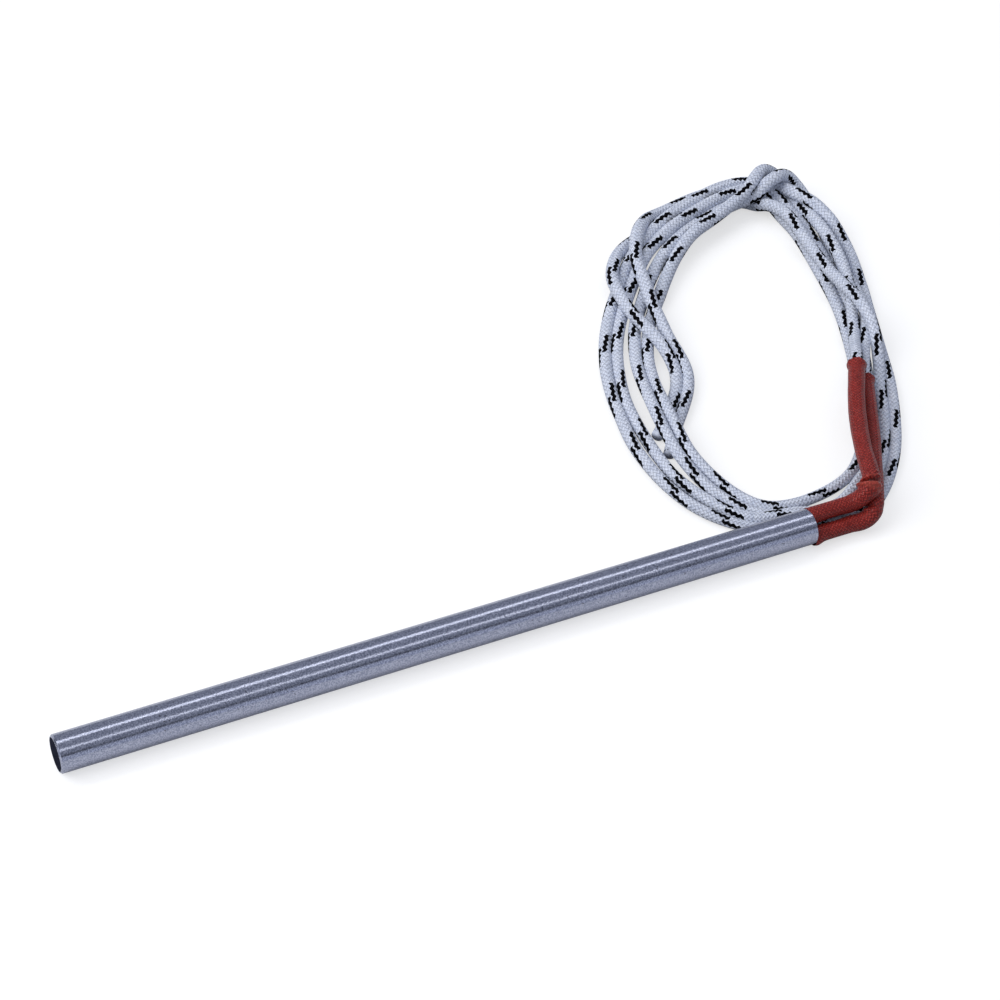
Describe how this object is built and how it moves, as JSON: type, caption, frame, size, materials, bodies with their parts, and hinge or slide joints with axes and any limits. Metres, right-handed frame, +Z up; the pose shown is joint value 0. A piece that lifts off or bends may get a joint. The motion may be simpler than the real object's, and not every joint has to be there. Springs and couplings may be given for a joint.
{
  "type": "cartridge heater",
  "caption": "Slim ground steel heating tube with a flat blind end; braided leads in kinked red sleeves leave the other end and lie wound in a loose oval coil.",
  "frame": {"origin": "on the surface that the heater lies on, under the middle of its rigid length from the blind end to the pin tips", "axes": "+X along the tube from the blind end to the lead end, +Z up, +Y to the side where the coil lies"},
  "size_m": [0.293, 0.154, 0.0139],
  "materials": {
    "ground_steel": "centreless ground stainless steel, fine grain round the tube",
    "end_steel": "turned flat disc, duller than the tube",
    "core_ceramic": "matt pressed magnesia",
    "resistance_alloy": "drawn resistance wire",
    "magnesia": "compacted powder",
    "mica": "pressed sheet",
    "cement": "rough cast plug",
    "nickel": "drawn pin",
    "crimp_metal": "plated barrel",
    "conductor_metal": "plated strands",
    "red_sleeve": "silicone coat over glass braid, half gloss",
    "glass_braid": "white glass braid with dark tracer yarns"
  },
  "bodies": {
    "root": {"sheath": "ground_steel", "end_disc": "end_steel", "end_insulator": "core_ceramic", "core_1": "core_ceramic", "core_2": "core_ceramic", "core_3": "core_ceramic", "core_4": "core_ceramic", "core_5": "core_ceramic", "core_6": "core_ceramic", "resistance_wire": "resistance_alloy", "magnesia_fill": "magnesia", "mica_washer": "mica", "end_seal": "cement", "pin_a": "nickel", "pin_b": "nickel", "crimp_a": "crimp_metal", "crimp_b": "crimp_metal", "conductor_a": "conductor_metal", "conductor_b": "conductor_metal", "sleeve_a": "red_sleeve", "sleeve_b": "red_sleeve", "lead_a": "glass_braid", "lead_b": "glass_braid", "lead_coil": "glass_braid"}
  },
  "joints": []
}
